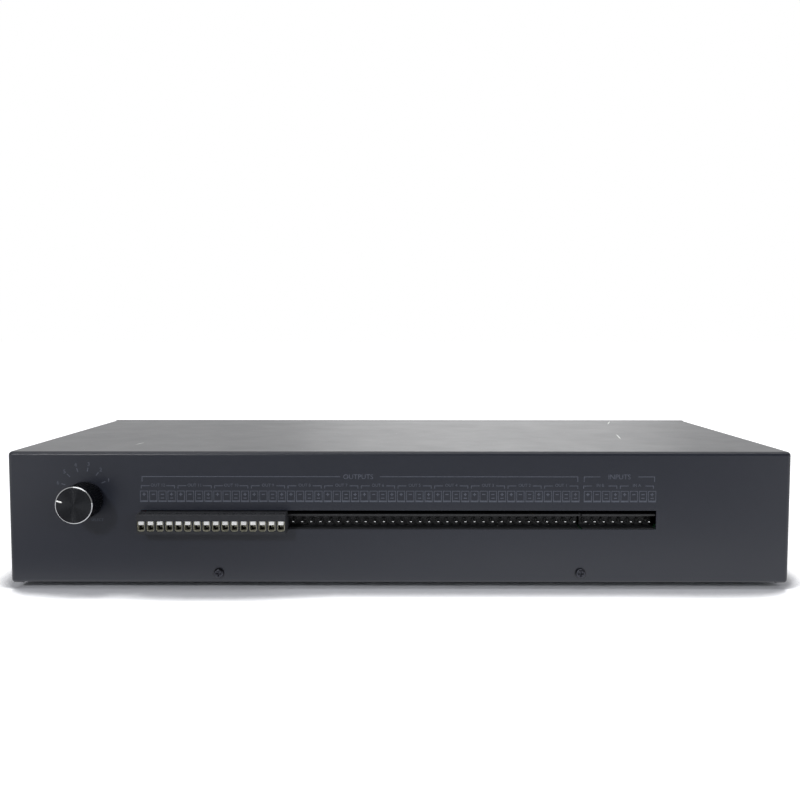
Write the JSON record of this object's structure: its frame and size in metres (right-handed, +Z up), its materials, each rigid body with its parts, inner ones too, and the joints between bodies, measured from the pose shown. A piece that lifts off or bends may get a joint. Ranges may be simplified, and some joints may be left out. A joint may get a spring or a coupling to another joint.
{
  "type": "speaker selector switch",
  "caption": "Free-standing speaker selector: a low folded-steel case with a long row of pluggable terminals and a rotary dial at one end, push buttons at the other side.",
  "frame": {"origin": "centre of the footprint, dial, plug and buttons included, on the plane that the feet stand on", "axes": "+X to the right when the terminal face is looked at, +Y from the terminal face to the button fascia, +Z up"},
  "size_m": [0.434, 0.2216, 0.0774],
  "materials": {
    "case_paint": "satin charcoal powder coat",
    "fascia_paint": "satin black",
    "chassis_steel": "zinc plated",
    "screw_black": "black passivated",
    "screw_zinc": "zinc plated",
    "foot_rubber": "matt",
    "terminal_plastic": "moulded",
    "pin_tin": "tin plated",
    "cage_zinc": "yellow passivated",
    "knob_aluminium": "black anodised",
    "cap_aluminium": "spun, black anodised, bright chamfer",
    "set_screw_steel": "blackened",
    "switch_metal": "turned",
    "phenolic": "laminate",
    "rotor_plastic": "moulded",
    "board_laminate": "solder mask",
    "switch_plastic": "moulded",
    "button_plastic": "moulded",
    "lamination_steel": "varnished laminations",
    "winding_tape": "taped copper winding",
    "wire_red": "insulation",
    "wire_black": "insulation"
  },
  "bodies": {
    "case": {"amplifier_header": "terminal_plastic", "base_chassis": "chassis_steel", "board_screws": "screw_zinc", "board_standoffs": "screw_zinc", "case_screws": "screw_black", "case_shell": "case_paint", "core_straps": "screw_zinc", "detent_spring": "switch_metal", "fascia_screws": "screw_zinc", "foot_screws": "screw_zinc", "front_fascia": "fascia_paint", "front_wafer": "phenolic", "header_pins": "pin_tin", "left_core": "lamination_steel", "left_winding": "winding_tape", "link_wires": "wire_black", "rear_wafer": "phenolic", "right_core": "lamination_steel", "right_winding": "winding_tape", "rubber_feet": "foot_rubber", "selector_bushing": "switch_metal", "selector_nut": "switch_metal", "selector_washer": "switch_metal", "speaker_header_a": "terminal_plastic", "speaker_header_b": "terminal_plastic", "speaker_header_c": "terminal_plastic", "strap_screws": "screw_zinc", "switch_board": "board_laminate", "switch_bodies": "switch_plastic", "tap_wires": "wire_red", "terminal_board": "board_laminate", "tie_rod_nuts": "screw_zinc", "tie_rods": "screw_zinc", "wafer_contacts": "switch_metal", "wafer_spacers": "screw_zinc"},
    "dial": {"dial_knob": "knob_aluminium", "dial_cap": "cap_aluminium", "knob_set_screw": "set_screw_steel", "selector_shaft": "switch_metal", "detent_wheel": "switch_metal", "front_rotor": "rotor_plastic", "rear_rotor": "rotor_plastic"},
    "plug": {"plug_housing": "terminal_plastic", "plug_clamp_screws": "pin_tin", "plug_clamp_cages": "cage_zinc", "plug_contacts": "pin_tin"},
    "room_1": {"room_button_1": "button_plastic"},
    "room_2": {"room_button_2": "button_plastic"},
    "room_3": {"room_button_3": "button_plastic"},
    "room_4": {"room_button_4": "button_plastic"},
    "room_5": {"room_button_5": "button_plastic"},
    "room_6": {"room_button_6": "button_plastic"},
    "room_7": {"room_button_7": "button_plastic"},
    "room_8": {"room_button_8": "button_plastic"},
    "room_9": {"room_button_9": "button_plastic"},
    "room_10": {"room_button_10": "button_plastic"},
    "room_11": {"room_button_11": "button_plastic"},
    "room_12": {"room_button_12": "button_plastic"},
    "amplifier_choice": {"amplifier_button": "button_plastic"}
  },
  "joints": [
    {"name": "dial_turn", "type": "hinge", "parent": "case", "child": "dial", "pos_m": [-0.17389, -0.0908, 0.0509], "axis": [0, 1, 0], "range_deg": [0, 150]},
    {"name": "plug_pull", "type": "slide", "parent": "case", "child": "plug", "axis": [0, -1, 0], "range_m": [0, 0.02]},
    {"name": "room_1_press", "type": "slide", "parent": "case", "child": "room_1", "axis": [0, -1, 0], "range_m": [0, 0.003], "stiffness_N_per_m": 400, "springref_m": -0.003},
    {"name": "room_2_press", "type": "slide", "parent": "case", "child": "room_2", "axis": [0, -1, 0], "range_m": [0, 0.003], "stiffness_N_per_m": 400, "springref_m": -0.003},
    {"name": "room_3_press", "type": "slide", "parent": "case", "child": "room_3", "axis": [0, -1, 0], "range_m": [0, 0.003], "stiffness_N_per_m": 400, "springref_m": -0.003},
    {"name": "room_4_press", "type": "slide", "parent": "case", "child": "room_4", "axis": [0, -1, 0], "range_m": [0, 0.003], "stiffness_N_per_m": 400, "springref_m": -0.003},
    {"name": "room_5_press", "type": "slide", "parent": "case", "child": "room_5", "axis": [0, -1, 0], "range_m": [0, 0.003], "stiffness_N_per_m": 400, "springref_m": -0.003},
    {"name": "room_6_press", "type": "slide", "parent": "case", "child": "room_6", "axis": [0, -1, 0], "range_m": [0, 0.003], "stiffness_N_per_m": 400, "springref_m": -0.003},
    {"name": "room_7_press", "type": "slide", "parent": "case", "child": "room_7", "axis": [0, -1, 0], "range_m": [0, 0.003], "stiffness_N_per_m": 400, "springref_m": -0.003},
    {"name": "room_8_press", "type": "slide", "parent": "case", "child": "room_8", "axis": [0, -1, 0], "range_m": [0, 0.003], "stiffness_N_per_m": 400, "springref_m": -0.003},
    {"name": "room_9_press", "type": "slide", "parent": "case", "child": "room_9", "axis": [0, -1, 0], "range_m": [0, 0.003], "stiffness_N_per_m": 400, "springref_m": -0.003},
    {"name": "room_10_press", "type": "slide", "parent": "case", "child": "room_10", "axis": [0, -1, 0], "range_m": [0, 0.003], "stiffness_N_per_m": 400, "springref_m": -0.003},
    {"name": "room_11_press", "type": "slide", "parent": "case", "child": "room_11", "axis": [0, -1, 0], "range_m": [0, 0.003], "stiffness_N_per_m": 400, "springref_m": -0.003},
    {"name": "room_12_press", "type": "slide", "parent": "case", "child": "room_12", "axis": [0, -1, 0], "range_m": [0, 0.003], "stiffness_N_per_m": 400, "springref_m": -0.003},
    {"name": "amplifier_press", "type": "slide", "parent": "case", "child": "amplifier_choice", "axis": [0, -1, 0], "range_m": [0, 0.003], "stiffness_N_per_m": 400, "springref_m": -0.003}
  ]
}
